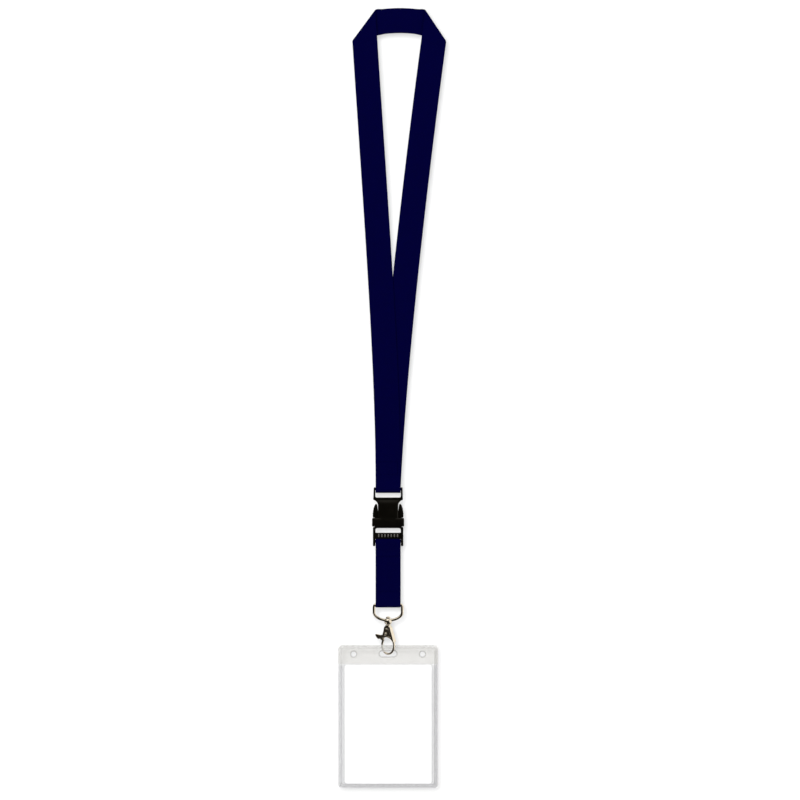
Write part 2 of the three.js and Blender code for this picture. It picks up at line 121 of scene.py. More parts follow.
# ---- camera, stage and light
VIEW_SIZE = 0.64
CAMERA_DISTANCE = 2.2
CAMERA_SIDE = 0.0095
CAMERA_HEIGHT = -0.2934
WALL_BEHIND = 0.235  # further back than any part swings
FLOOR_BELOW = 0.056
CREAM = (1.0, 0.94, 0.82)
SOFT_BOXES = [  # direction, cosines where it starts and is full, colour, strength
    ((0.5, 0.85, 0.15), 0.3, 0.62, CREAM, 0.95),
    ((0.95, -0.15, 0.25), 0.62, 0.78, CREAM, 1.2),
    ((-0.2, -0.35, 0.95), 0.72, 0.84, CREAM, 1.3),
    ((-0.8, -0.1, -0.6), 0.86, 0.93, CREAM, 0.8),
]
DARK_ROOM = (0.014, 0.009, 0.005)
SOFT_LIGHT = 0.84
SEEN_WHITE = 1.02  # just past white, so that the backdrop shows no edge
LAMPS = {  # place, size and watts of the lamps that light the object and not the stage
    "key": ((-0.9, -1.5, 0.5), 0.8, 20),
    "fill": ((1.3, -0.9, 0.1), 0.9, 7),
    "back": ((0.5, 1.4, 0.5), 0.9, 14),
}
WALL_LAMP_OFFSET = Vector((-0.015, 0, 0.022))
WALL_LAMP_SIZE = 0.075
WALL_LAMP_WATTS = 44
STAGE_REACH = 6.0
WALL_TOP = 1.2


def link(obj):
    bpy.context.scene.collection.objects.link(obj)
    return obj


def make_camera():
    data = bpy.data.cameras.new("camera")
    data.sensor_width = 36
    data.lens = data.sensor_width * CAMERA_DISTANCE / VIEW_SIZE
    camera = link(bpy.data.objects.new("camera", data))
    camera.location = (CAMERA_SIDE, -CAMERA_DISTANCE, CAMERA_HEIGHT)
    camera.rotation_euler = (math.pi / 2, 0, 0)
    bpy.context.scene.camera = camera
    return camera


def stage_material():
    """Matt white in front, and nothing at all seen from behind."""
    material = without_nodes(bpy.data.materials.new("studio_white"))
    paint = add(material, "ShaderNodeBsdfDiffuse", {"Color": (0.7, 0.7, 0.7, 1)})
    clear = add(material, "ShaderNodeBsdfTransparent")
    behind = add(material, "ShaderNodeNewGeometry").outputs["Backfacing"]
    surface = mixed(material, behind, paint.outputs[0], clear.outputs[0])
    add(material, "ShaderNodeOutputMaterial", {"Surface": surface})
    return material


def stage_plane(name, points, material):
    mesh = bpy.data.meshes.new(name)
    mesh.from_pydata(points, [], [(0, 1, 2, 3)])
    mesh.materials.append(material)
    plane = link(bpy.data.objects.new(name, mesh))
    plane.visible_shadow = False
    plane.visible_diffuse = False
    plane.visible_glossy = False
    plane.visible_transmission = False
    plane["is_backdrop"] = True
    return plane


def make_stage():
    low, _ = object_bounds()
    floor_z = low.z - FLOOR_BELOW
    reach, y = STAGE_REACH, WALL_BEHIND
    white = stage_material()
    wall = stage_plane("wall", [
        (-reach, y, floor_z), (reach, y, floor_z), (reach, y, WALL_TOP), (-reach, y, WALL_TOP),
    ], white)
    floor = stage_plane("floor", [
        (-reach, -reach, floor_z), (reach, -reach, floor_z), (reach, y, floor_z), (-reach, y, floor_z),
    ], white)
    return [wall, floor]


def area_light(name, location, aim, size, watts):
    data = bpy.data.lights.new(name, "AREA")
    data.shape = "DISK"
    data.size = size
    data.energy = watts
    light = link(bpy.data.objects.new(name, data))
    light.location = location
    toward = Vector(aim) - Vector(location)
    light.rotation_euler = toward.to_track_quat("-Z", "Y").to_euler()
    return light


def linked_collection(name, objects):
    collection = bpy.data.collections.new(name)
    for obj in objects:
        collection.objects.link(obj)
    return collection


def make_lights(camera, stage):
    """A lamp beside the lens draws the soft shadow on the wall; the others shape the object."""
    middle = (0, 0, CAMERA_HEIGHT)
    halo = area_light("wall_lamp", camera.location + WALL_LAMP_OFFSET, (CAMERA_SIDE, 0, CAMERA_HEIGHT),
                      WALL_LAMP_SIZE, WALL_LAMP_WATTS)
    halo.light_linking.receiver_collection = linked_collection("lit_by_wall_lamp", stage)
    for name, (place, size, watts) in LAMPS.items():
        light = area_light(name, place, middle, size, watts)
        light.visible_glossy = False
        unlit = linked_collection("not_lit_by_" + name, stage)
        light.light_linking.receiver_collection = unlit
        for member in unlit.collection_objects:
            member.light_linking.link_state = "EXCLUDE"


def make_world():
    """White to the eye, even for soft light, and a dark room with bright boxes in reflections."""
    world = without_nodes(bpy.data.worlds.new("studio"))
    bpy.context.scene.world = world
    towards = add(world, "ShaderNodeTexCoord").outputs["Generated"]

    def backdrop(colour, strength):
        inputs = {"Color": (*colour, 1), "Strength": strength}
        return add(world, "ShaderNodeBackground", inputs).outputs[0]

    def lobe(direction, low, high):
        """1 towards the direction, falling to 0 where the cosine goes from high to low."""
        inputs = {0: towards, 1: Vector(direction).normalized()}
        cosine = add(world, "ShaderNodeVectorMath", inputs, operation="DOT_PRODUCT")
        inputs = {"Value": cosine.outputs["Value"], "From Min": low, "From Max": high}
        spread = add(world, "ShaderNodeMapRange", inputs, interpolation_type="SMOOTHSTEP")
        return spread.outputs[0]

    room = backdrop(DARK_ROOM, 1)
    for direction, low, high, colour, strength in SOFT_BOXES:
        room = mixed(world, lobe(direction, low, high), room, backdrop(colour, strength))
    path = add(world, "ShaderNodeLightPath").outputs
    lit = mixed(world, path["Is Glossy Ray"], backdrop((1, 1, 1), SOFT_LIGHT), room)
    seen = mixed(world, path["Is Camera Ray"], lit, backdrop((1, 1, 1), SEEN_WHITE))
    add(world, "ShaderNodeOutputWorld", {"Surface": seen})


# ---- material helpers
def blank_material(name, colour, roughness, metallic=0.0, specular=0.5):
    material = bpy.data.materials.new(name)
    material.use_nodes = True
    shader = material.node_tree.nodes["Principled BSDF"]
    shader.inputs["Base Color"].default_value = (*colour, 1)
    shader.inputs["Roughness"].default_value = roughness
    shader.inputs["Metallic"].default_value = metallic
    shader.inputs["Specular IOR Level"].default_value = specular
    return material


def noise_of(material, scale, detail):
    """Noise in the object's own metres; scale is features per metre."""
    where = add(material, "ShaderNodeTexCoord").outputs["Object"]
    inputs = {"Vector": where, "Scale": scale, "Detail": detail}
    return add(material, "ShaderNodeTexNoise", inputs).outputs["Fac"]


def between(material, value, low, high):
    """value, from 0 to 1, spread from low to high."""
    inputs = {"Value": value, "To Min": low, "To Max": high}
    return add(material, "ShaderNodeMapRange", inputs).outputs[0]


def tint(material, value, dark, light):
    """A colour from dark to light as value goes from 0 to 1."""
    inputs = {"Factor": value, "A": (*dark, 1), "B": (*light, 1)}
    return add(material, "ShaderNodeMix", inputs, data_type="RGBA").outputs["Result"]


def math_node(material, operation, *values):
    """values are numbers or the outputs of other nodes."""
    inputs = dict(enumerate(values))
    return add(material, "ShaderNodeMath", inputs, operation=operation).outputs[0]


def drive(material, **sources):
    """Joins node outputs to the shader's inputs of those names."""
    shader = material.node_tree.nodes["Principled BSDF"]
    for name, source in sources.items():
        material.node_tree.links.new(source, shader.inputs[name.replace("_", " ")])


def bump(material, height, depth, strength):
    inputs = {"Height": height, "Distance": depth, "Strength": strength}
    drive(material, Normal=add(material, "ShaderNodeBump", inputs).outputs["Normal"])


# ---- materials
THREAD_PITCH = 0.00055


def ribbon_material():
    """Navy polyester, plain woven: warp and weft threads pass over each other in turn."""
    dark, light = (0.0, 0.0, 0.017), (0.0003, 0.0, 0.031)
    material = blank_material("navy_ribbon", light, 0.9, specular=0.02)
    uv = add(material, "ShaderNodeUVMap", uv_map="cloth").outputs[0]
    place = add(material, "ShaderNodeSeparateXYZ", {0: uv}).outputs
    turns = [math_node(material, "MULTIPLY", place[i], math.pi / THREAD_PITCH) for i in (0, 1)]
    across, along = [math_node(material, "SINE", turn) for turn in turns]
    over = math_node(material, "MULTIPLY", across, along)
    weave = math_node(material, "MULTIPLY_ADD", over, 0.5, 0.5)
    cloud = noise_of(material, 260, 2)
    tone = math_node(material, "MULTIPLY", weave, between(material, cloud, 0.6, 1.4))
    drive(material, Base_Color=tint(material, tone, dark, light),
          Roughness=between(material, cloud, 0.75, 0.95))
    shader = material.node_tree.nodes["Principled BSDF"]
    shader.inputs["Sheen Weight"].default_value = 0.01
    shader.inputs["Sheen Roughness"].default_value = 0.4
    shader.inputs["Sheen Tint"].default_value = (0.2, 0.25, 0.9, 1)
    bump(material, weave, 0.00009, 0.7)
    return material


def thread_material():
    material = blank_material("navy_thread", (0, 0, 0.03), 0.95, specular=0.02)
    twist = noise_of(material, 4000, 1)
    drive(material, Base_Color=tint(material, twist, (0, 0, 0.012), (0.0002, 0, 0.03)))
    bump(material, twist, 0.00005, 0.6)
    return material


def uneven_material(name, dark, light, rough, clouds, grain, metallic=0.0, specular=0.5):
    """Colour and roughness drift with clouds (scale, detail), and the light catches a fine grain
    (scale, detail, depth, strength)."""
    material = blank_material(name, light, rough[0], metallic, specular)
    cloud = noise_of(material, *clouds)
    drive(material, Base_Color=tint(material, cloud, dark, light),
          Roughness=between(material, cloud, *rough))
    scale, detail, depth, strength = grain
    bump(material, noise_of(material, scale, detail), depth, strength)
    return material


def plastic_material():
    """Black acetal with the faint grain of its mould and a slightly rubbed sheen."""
    return uneven_material("black_acetal", (0.0008, 0.0006, 0.0001), (0.0022, 0.0016, 0.0006),
                           (0.3, 0.45), (220, 4), (5200, 2, 0.00002, 0.3), specular=0.2)


def tooth_highlight_plastic_material():
    """The same plastic, shinier and painted light grey: a painted highlight on the teeth that grip the
    ribbon.
    """
    return uneven_material("tooth_highlight_acetal", (0.06, 0.056, 0.048), (0.11, 0.105, 0.095),
                           (0.2, 0.4), (1800, 3), (1800, 3, 0.00002, 0.3), specular=0.6)


def metal_material(name, dark, light, rough):
    """Plated metal: a little cloudy, with the soft unevenness of a tumbled casting."""
    return uneven_material(name, dark, light, rough, (380, 3), (900, 2, 0.00003, 0.25), metallic=1.0)


def paper_material():
    return uneven_material("card_paper", (0.9, 0.9, 0.895), (0.94, 0.94, 0.94),
                           (0.68, 0.85), (2600, 5), (2600, 5, 0.00002, 0.3), specular=0.3)


def film(name, colour, roughness):
    """Soft film, slightly hazy and wavy, and the clouds of its haze."""
    material = blank_material(name, colour, roughness)
    cloud = noise_of(material, 90, 3)
    drive(material, Roughness=between(material, cloud, roughness, roughness + 0.1))
    bump(material, noise_of(material, 160, 2), 0.0001, 0.08)
    return material, cloud


def vinyl_material(name, colour, alpha_low, alpha_high, roughness):
    """Soft PVC film: part of the light goes straight through, the rest scatters milkily."""
    material, cloud = film(name, colour, roughness)
    duller = tuple(0.96 * c for c in colour)
    drive(material, Base_Color=tint(material, cloud, duller, colour),
          Alpha=between(material, cloud, alpha_low, alpha_high))
    return material


def near_cut(material, cut_x, half, cut_z):
    """1 at the rim of the header's cuts, fading to 0: cuts half long, cut_x to either side. It masks the
    painted shade round the cuts.
    """
    value = add(material, "ShaderNodeTexCoord").outputs["Object"]
    depth = 1.0  # further than the film is from the middle plane, which leaves only x and z
    for operation, by in (
        ("ABSOLUTE", (0, 0, 0)), ("SUBTRACT", (cut_x * MM, 0, -cut_z * MM)), ("ABSOLUTE", (0, 0, 0)),
        ("SUBTRACT", (half * MM, depth, 0)), ("MAXIMUM", (0, 0, 0)), ("LENGTH", (0, 0, 0)),
    ):
        node = add(material, "ShaderNodeVectorMath", {0: value, 1: by}, operation=operation)
        value = node.outputs["Value" if operation == "LENGTH" else "Vector"]
    inputs = {"Value": value, "From Min": CUT_SHADE_ENDS * MM, "From Max": CUT_SHADE_FULL * MM}
    return add(material, "ShaderNodeMapRange", inputs).outputs[0]


def header_material():
    """Milky film, with painted shade round the slot and the two holes, greyer and more opaque there."""
    milky, grey = (0.63, 0.612, 0.545), (0.3, 0.3, 0.29)
    material, _ = film("frosted_vinyl", milky, 0.35)
    holes = near_cut(material, HEADER_HOLE_X, 0, HEADER_HOLE_Z)
    slot = near_cut(material, 0, HEADER_SLOT_HALF - HEADER_SLOT_ROUND,
                    (HEADER_SLOT_LOW + HEADER_SLOT_HIGH) / 2)
    # rims: painted shade round the cuts, darker and more opaque
    rims = math_node(material, "MAXIMUM", holes, slot)
    drive(material, Base_Color=tint(material, rims, milky, grey),
          Alpha=between(material, rims, 0.145, 0.45))
    return material


# ---- mesh helpers
def face_outwards(mesh, merge=0.0):
    """Turns the faces outwards, once points closer than merge are one."""
    work = bmesh.new()
    work.from_mesh(mesh)
    if merge:
        bmesh.ops.remove_doubles(work, verts=work.verts, dist=merge * MM)
    bmesh.ops.recalc_face_normals(work, faces=work.faces)
    work.to_mesh(mesh)
    work.free()


def settle(obj, merge=0.0):
    """Applies an object's modifiers, or turns a curve into a mesh, with its faces pointing out."""
    graph = bpy.context.evaluated_depsgraph_get()
    made = bpy.data.meshes.new_from_object(obj.evaluated_get(graph), depsgraph=graph)
    name, place = obj.name, obj.matrix_world.copy()
    bpy.data.batch_remove([obj, obj.data])
    made.name = name
    made.transform(place)
    face_outwards(made, merge)
    return link(bpy.data.objects.new(name, made))


def shade(obj, degrees=40):
    """Smooth faces, sharp where they meet at more than the angle."""
    obj.data.shade_smooth()
    obj.data.set_sharp_from_angle(angle=math.radians(degrees))
    return obj


def shade_plate(obj):
    """Flat faces stay flat and the rounded rims between them are smooth."""
    for polygon in obj.data.polygons:
        polygon.use_smooth = abs(polygon.normal.y) < 0.999
    return obj


def dress(obj, body, slot, material, *nodes):
    """Gives a piece its finish and its body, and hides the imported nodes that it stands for."""
    obj.data.materials.clear()
    obj.data.materials.append(material)
    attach(obj, body)
    if nodes:
        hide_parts(*nodes)
    return obj


def joined(name, parts):
    """Several objects as one mesh."""
    work = bmesh.new()
    for part in parts:
        part.data.transform(part.matrix_world)
        work.from_mesh(part.data)
        bpy.data.objects.remove(part)
    mesh = bpy.data.meshes.new(name)
    work.to_mesh(mesh)
    work.free()
    return link(bpy.data.objects.new(name, mesh))


def combine(obj, others, operation):
    """obj cut by, or joined with, the others, which are used up."""
    for other in others:
        modifier = obj.modifiers.new("combine", "BOOLEAN")
        modifier.object = other
        modifier.operation = operation
        modifier.solver = "EXACT"
    made = settle(obj, merge=0.001)
    for other in others:
        bpy.data.objects.remove(other)
    return made


def cut(obj, *cutters):
    return combine(obj, cutters, "DIFFERENCE")


def cast(obj, voxel, rounds, ratio):
    """Overlapping bodies run together as a casting does, with soft edges and fillets."""
    remesh = obj.modifiers.new("remesh", "REMESH")
    remesh.mode = "VOXEL"
    remesh.voxel_size = voxel * MM
    smooth = obj.modifiers.new("smooth", "SMOOTH")
    smooth.factor = 0.5
    smooth.iterations = rounds
    thin = obj.modifiers.new("thin", "DECIMATE")
    thin.ratio = ratio
    made = settle(obj)
    made.data.shade_smooth()
    return made


def loft(name, loops, endless=False):
    """A closed skin over equal loops of points in millimetres."""
    sides, count = len(loops[0]), len(loops)
    faces = []
    for i in range(count if endless else count - 1):
        here, after = i * sides, ((i + 1) % count) * sides
        for k in range(sides):
            m = (k + 1) % sides
            faces.append((here + k, here + m, after + m, after + k))
    if not endless:
        faces.append(tuple(reversed(range(sides))))
        faces.append(tuple(range((count - 1) * sides, count * sides)))
    mesh = bpy.data.meshes.new(name)
    mesh.from_pydata([Vector(p) * MM for loop in loops for p in loop], [], faces)
    mesh.validate()
    face_outwards(mesh)
    return link(bpy.data.objects.new(name, mesh))


def full_turn(sides):
    """The angles of the corners of a regular polygon."""
    return [2 * math.pi * k / sides for k in range(sides)]


def arc(cx, cz, rx, rz, start, end, count):
    """Points (x, z) on an ellipse, from one angle to another in degrees."""
    angles = [math.radians(start + (end - start) * i / count) for i in range(count + 1)]
    return [(cx + rx * math.cos(a), cz + rz * math.sin(a)) for a in angles]


def rounded(x0, z0, x1, z1, radius, count=6):
    """The outline of a rectangle with round corners, as points (x, z)."""
    return [
        *arc(x1 - radius, z0 + radius, radius, radius, -90, 0, count),
        *arc(x1 - radius, z1 - radius, radius, radius, 0, 90, count),
        *arc(x0 + radius, z1 - radius, radius, radius, 90, 180, count),
        *arc(x0 + radius, z0 + radius, radius, radius, 180, 270, count),
    ]


def mirrored(points):
    """An outline's right half, and then its left half."""
    return [*points, *[(-x, z) for x, z in reversed(points)]]


def plate(name, outlines, front, back, edge):
    """A plate from y = front to back inside the first outline, with the others as holes.
    Its rims are rounded by edge."""
    curve = bpy.data.curves.new(name, "CURVE")
    curve.dimensions = "2D"
    curve.fill_mode = "BOTH"
    curve.extrude = ((back - front) / 2 - edge) * MM
    curve.bevel_depth = edge * MM
    curve.bevel_resolution = 2
    curve.offset = -edge * MM
    for outline in outlines:
        spline = curve.splines.new("POLY")
        spline.points.add(len(outline) - 1)
        spline.use_cyclic_u = True
        for point, (x, z) in zip(spline.points, outline):
            point.co = (x * MM, z * MM, 0, 1)
    obj = link(bpy.data.objects.new(name, curve))
    obj.rotation_euler = (math.pi / 2, 0, 0)
    obj.location = (0, (front + back) / 2 * MM, 0)
    bpy.context.view_layer.update()
    return shade_plate(settle(obj, merge=0.002))


def block(name, low, high):
    """A plain box, used only to cut with."""
    (x0, y0, z0), (x1, y1, z1) = low, high
    base = [(x0, y0), (x1, y0), (x1, y1), (x0, y1)]
    return loft(name, [[(x, y, z) for x, y in base] for z in (z0, z1)])


def skin(name, rings, sides, endless=False):
    """A skin over ellipses, each given by its centre and its two half axes."""
    turn = [(math.cos(a), math.sin(a)) for a in full_turn(sides)]
    return loft(name, [
        [tuple(c + u * cos + v * sin for c, u, v in zip(*ring)) for cos, sin in turn] for ring in rings
    ], endless)


def end_to_end(steps):
    """Places from -1 to 1."""
    return [i / steps * 2 - 1 for i in range(steps + 1)]


def turned(name, profile, sides=40):
    """A profile of (radius, z) pairs turned about the Z axis, flat at both ends."""
    return skin(name, [((0, 0, z), (r, 0, 0), (0, r, 0)) for r, z in profile], sides)


def cross_pin(name, profile, x, z, sides=28):
    """A profile of (radius, y) pairs turned about a line along Y through (x, z)."""
    return skin(name, [((x, y, z), (r, 0, 0), (0, 0, r)) for r, y in profile], sides)


def side_rod(name, radius, half, z, sides=24):
    """A round rod along X, its ends tapered a little."""
    end, taper = radius * 0.8, 0.3
    steps = [(end, -half), (radius, -half + taper), (radius, half - taper), (end, half)]
    return skin(name, [((x, 0, z), (0, r, 0), (0, 0, r)) for r, x in steps], sides)


def bar(name, path, wide, deep, sides, swell=0.0, endless=False):
    """An oval bar along points (x, z), deeper by swell where it starts."""
    count = len(path)
    rings = []
    for i, (x, z) in enumerate(path):
        before = path[(i - 1) % count] if endless else path[max(i - 1, 0)]
        after = path[(i + 1) % count] if endless else path[min(i + 1, count - 1)]
        dx, dz = after[0] - before[0], after[1] - before[1]
        size = math.hypot(dx, dz)
        w, d = wide / 2, (deep + swell * (1 - i / (count - 1)) ** 3) / 2
        rings.append(((x, 0, z), (-dz / size * w, 0, dx / size * w), (0, d, 0)))
    return skin(name, rings, sides, endless)


# ---- ribbons
RIBBON_WIDTH = 20.0
RIBBON_THICK = 0.8
BAR_Z = -364.5
LEFT_RUN = [(0, BAR_Z), (0.2, -268), (-9.7, -143.5), (-19.3, 4.6)]
RIGHT_RUN = [(0, BAR_Z), (4.4, -268), (20.6, -123.8), (37.9, 4.4)]
LEFT_CREASE = 53.5
RIGHT_CREASE = 123.7
CORNER_RADIUS = 0.8
FLAT_BELOW = -14
TAIL_TOP = -339
SPREAD = 9
INNER_WRAP = 1.9
OUTER_WRAP = 2.85
INNER_FLAT = 0.475
OUTER_FLAT = 1.425
BEHIND_NECK = (0.26, 0.74)  # the shares of the curve between the corners that are drawn
STITCH_LENGTH = 2.4
STITCH_GAP = 0.5
THREAD_RADIUS = 0.17
THREAD_SINKS = 0.03


def smooth_step(t):
    t = min(max(t, 0.0), 1.0)
    return t * t * (3 - 2 * t)


def lerp(a, b, t):
    return a + (b - a) * t


class Bezier:
    """A cubic curve through control points of any dimension."""

    def __init__(self, points):
        self.points = [Vector(p) for p in points]

    def at(self, t):
        a, b, c, d = self.points
        s = 1 - t
        return a * s**3 + b * (3 * s * s * t) + c * (3 * s * t * t) + d * t**3

    def tangent(self, t):
        a, b, c, d = self.points
        s = 1 - t
        return ((b - a) * (3 * s * s) + (c - b) * (6 * s * t) + (d - c) * (3 * t * t)).normalized()

    def at_height(self, z):
        low, high = 0.0, 1.0
        for _ in range(40):
            middle = (low + high) / 2
            if self.at(middle)[1] < z:
                low = middle
            else:
                high = middle
        return low


def station(centre, across, normal):
    """Where the ribbon is crossed: its inner and outer edge, and the way its face looks."""
    reach = across * (RIBBON_WIDTH / 2)
    return centre + reach, centre - reach, normal


def stand_off(height, wrapped, pinched):
    return lerp(wrapped, pinched, smooth_step(height / SPREAD))


def wrap(bar_z, radius, across, up, count=16):
    """The half turn round a bar, from behind to the front."""
    stations = []
    for i in range(count + 1):
        a = math.pi * i / count
        normal = Vector((0, math.cos(a), up * math.sin(a)))
        stations.append(station(normal * radius + UP * bar_z, across, normal))
    return stations


def ripple(z):
    """The slight waviness of a hanging ribbon, gone where it is folded or sewn."""
    fade = smooth_step((z - TAIL_TOP - 8) / 40) * smooth_step((FLAT_BELOW - 12 - z) / 40)
    return 0.22 * fade * (math.sin(z / 23.0) + 0.6 * math.sin(z / 11.3 + 1.0))


def run(curve, depth, inward):
    """One run of the neck ribbon from the bar upward, its face to the front."""
    near = [BAR_Z + SPREAD * (i + 1) / 12 for i in range(12)]
    count = 84
    far = [lerp(BAR_Z + SPREAD, FLAT_BELOW, (i + 1) / count) for i in range(count)]
    stations = []
    for z in [*near, *far]:
        t = curve.at_height(z)
        x, _ = curve.at(t)
        ax, az = curve.tangent(t)
        slope = (depth(z + 0.1) - depth(z - 0.1)) / 0.2
        normal = Vector((0, -1, slope)).normalized()
        stations.append(station(Vector((x, depth(z), z)), Vector((az, 0, -ax)) * inward, normal))
    return stations


def corner(curve, depth, crease_degrees, inward):
    """The ribbon turned over an oblique crease, from the front to behind."""
    ex, ez = curve.at(1)
    ax, az = curve.tangent(1)
    crease = math.radians(crease_degrees)
    line = Vector((math.cos(crease), 0, math.sin(crease)))
    out = Vector((-line.z * inward, 0, line.x * inward))
    along = Vector((ax, 0, az))
    across = Vector((az, 0, -ax)) * inward
    drift = CORNER_RADIUS * along.dot(line) / along.dot(out)

    def edge(side):
        reach = side * RIBBON_WIDTH / 2
        back = -reach * across.dot(out) / along.dot(out)
        return Vector((ex, depth, ez)) + across * reach + along * back

    stations = []
    count = 14
    for i in range(count + 1):
        a = math.pi * i / count
        lift = Vector((0, CORNER_RADIUS * (1 - math.cos(a)), 0))
        lift += out * (CORNER_RADIUS * math.sin(a)) + line * (drift * a)
        normal = Vector((0, -math.cos(a), 0)) + out * math.sin(a)
        stations.append((edge(1) + lift, edge(-1) + lift, normal))
    leave = line * along.dot(line) - out * along.dot(out)
    centre = Vector((ex, depth + 2 * CORNER_RADIUS, ez)) + line * (drift * math.pi)
    return stations, leave, centre


def tail(wrapped, flat, across, top, count=14):
    stations = []
    for i in range(count):
        height = (top - BAR_Z) * (i + 1) / count
        y = stand_off(height, wrapped, flat)
        stations.append(station(Vector((0, y, BAR_Z + height)), across, Vector((0, 1, 0))))
    return stations


def neck_stations():
    left_curve, right_curve = Bezier(LEFT_RUN), Bezier(RIGHT_RUN)

    def left_depth(z):
        return ripple(z) - stand_off(z - BAR_Z, OUTER_WRAP, OUTER_FLAT)

    def right_depth(z):
        behind = stand_off(z - BAR_Z, INNER_WRAP, INNER_FLAT)
        return ripple(z) - lerp(behind, OUTER_FLAT, smooth_step((z + 160) / 110))

    left_corner, left_leave, left_centre = corner(left_curve, -OUTER_FLAT, LEFT_CREASE, 1)
    right_corner, right_leave, right_centre = corner(right_curve, -OUTER_FLAT, RIGHT_CREASE, -1)
    pull = (left_centre - right_centre).length / 3
    over = Bezier([
        left_centre, left_centre + left_leave * pull,
        right_centre + right_leave * pull, right_centre,
    ])
    behind_neck = []
    for i in range(17):
        t = lerp(*BEHIND_NECK, i / 16)
        along = over.tangent(t)
        behind_neck.append(station(over.at(t), Vector((-along.z, 0, along.x)), Vector((0, 1, 0))))
    return [
        *reversed(tail(OUTER_WRAP, OUTER_FLAT, RIGHT, TAIL_TOP)),
        *wrap(BAR_Z, OUTER_WRAP, RIGHT, -1),
        *run(left_curve, left_depth, 1),
        *left_corner,
        *behind_neck,
        *reversed(right_corner),
        *reversed(run(right_curve, right_depth, -1)),
        *reversed(wrap(BAR_Z, INNER_WRAP, -RIGHT, -1)),
        *tail(INNER_WRAP, INNER_FLAT, -RIGHT, TAIL_TOP - 2),
    ]


def ribbon_section():
    """Places across the ribbon from -1 to 1, with how far the face stands there as a share of
    half the thickness: down one face and back along the other, round at both selvedges."""
    face = [(-0.97, 0.86), (-0.93, 1.0), (-0.86, 0.94), (-0.5, 0.94), (0, 0.94), (0.5, 0.94),
            (0.86, 0.94), (0.93, 1.0), (0.97, 0.86)]
    tip = [(1.0, 0.4), (1.0, -0.4)]
    return [*face, *tip, *[(s, -h) for s, h in reversed(face)], *[(-s, -h) for s, h in tip]]


def ribbon_mesh(name, stations, endless=False):
    """The ribbon's skin, with its own width and length in metres as its UV map."""
    section = ribbon_section()
    loops, lengths, run_length = [], [], 0.0
    for i, (inner, outer, normal) in enumerate(stations):
        middle = (inner + outer) / 2
        if i:
            run_length += (middle - previous).length
        previous = middle
        lengths.append(run_length)
        half = (inner - outer) / 2
        lift = normal.normalized() * (RIBBON_THICK / 2)
        loops.append([middle + half * s + lift * h for s, h in section])
    obj = loft(name, loops, endless)
    if endless:
        run_length += ((stations[0][0] + stations[0][1]) / 2 - previous).length
    paint_lengths(obj.data, section, lengths, run_length)
    shade(obj, 60)
    return obj, run_length * MM


def paint_lengths(mesh, section, lengths, total):
    sides = len(section)
    layer = mesh.uv_layers.new(name="cloth")
    for polygon in mesh.polygons:
        rows = [mesh.loops[i].vertex_index // sides for i in polygon.loop_indices]
        closing = max(rows) - min(rows) > 1
        for i, row in zip(polygon.loop_indices, rows):
            place = mesh.loops[i].vertex_index % sides
            length = total if closing and row == 0 else lengths[row]
            layer.data[i].uv = (section[place][0] * RIBBON_WIDTH / 2 * MM, length * MM)


def stitch_row(start, end, lift):
    """One line of lockstitches, each a short arched thread lying on the ribbon."""
    line = end - start
    count = max(1, round(line.length / (STITCH_LENGTH + STITCH_GAP)))
    along = line.normalized()
    side = along.cross(lift).normalized()
    stitches = []
    for n in range(count):
        centre = start + line * ((n + 0.5) / count)
        rings = []
        for s in end_to_end(6):
            rise = THREAD_RADIUS * (1 - 0.9 * s * s)
            thick = THREAD_RADIUS * math.sqrt(max(1 - 0.85 * s * s, 0.05))
            middle = centre + along * (s * STITCH_LENGTH / 2) + lift * rise * 0.6
            rings.append((middle, side * thick, lift * thick))
        stitches.append(skin("stitch", rings, 8))
    return stitches


def stitched(name, rows):
    parts = []
    for start, end, lift in rows:
        parts += stitch_row(Vector(start), Vector(end), Vector(lift))
    return shade(joined(name, parts), 60)


def neck_stitching():
    """A sewn box above the buckle, through all four layers, seen in front and behind."""
    half, low, high = 7.6, BAR_Z + 11.5, TAIL_TOP - 3.5
    rows = []
    for face in (-1, 1):
        y = face * (OUTER_FLAT + RIBBON_THICK / 2 - THREAD_SINKS)
        lift = (0, face, 0)
        corners = [(-half, low), (half, low), (half, high), (-half, high)]
        for (x0, z0), (x1, z1) in zip(corners, corners[1:] + corners[:1]):
            rows.append(((x0, y, z0), (x1, y, z1), lift))
    return stitched("neck_stitching", rows)


def make_neck_ribbon(cloth, thread):
    obj, length = ribbon_mesh("neck_ribbon", neck_stations())
    dress(obj, "neck", "ribbon", cloth, "neck_strap")
    sewing = dress(neck_stitching(), "neck", "ribbon", thread)


PLUG_BAR_Z = -406.4
RING_BAR_Z = -457.2
SHORT_TOP_WRAP = 1.9
SHORT_LOW_WRAP = 1.8
SHORT_FLAT = 0.55


def short_stations():
    length = PLUG_BAR_Z - RING_BAR_Z
    count = 44

    def side(face):
        stations = []
        for i in range(1, count):
            drop = length * i / count
            y = max(stand_off(drop, SHORT_TOP_WRAP, SHORT_FLAT),
                    stand_off(length - drop, SHORT_LOW_WRAP, SHORT_FLAT))
            centre = Vector((0, face * y, PLUG_BAR_Z - drop))
            stations.append(station(centre, RIGHT, Vector((0, face, 0))))
        return stations

    return [
        *wrap(PLUG_BAR_Z, SHORT_TOP_WRAP, RIGHT, 1),
        *side(-1),
        *reversed(wrap(RING_BAR_Z, SHORT_LOW_WRAP, RIGHT, -1)),
        *reversed(side(1)),
    ]


def short_stitching():
    """A row of stitches under the buckle and another above the ring."""
    rows = []
    for face in (-1, 1):
        y = face * (SHORT_FLAT + RIBBON_THICK / 2 - THREAD_SINKS)
        for z in (PLUG_BAR_Z - 12, RING_BAR_Z + 11):
            rows.append(((-8.6, y, z), (8.6, y, z), (0, face, 0)))
    return stitched("short_stitching", rows)


def make_short_ribbon(cloth, thread):
    obj, length = ribbon_mesh("short_ribbon", short_stations(), endless=True)
    dress(obj, "short_loop", "ribbon", cloth, "short_strap")
    sewing = dress(short_stitching(), "short_loop", "ribbon", thread)


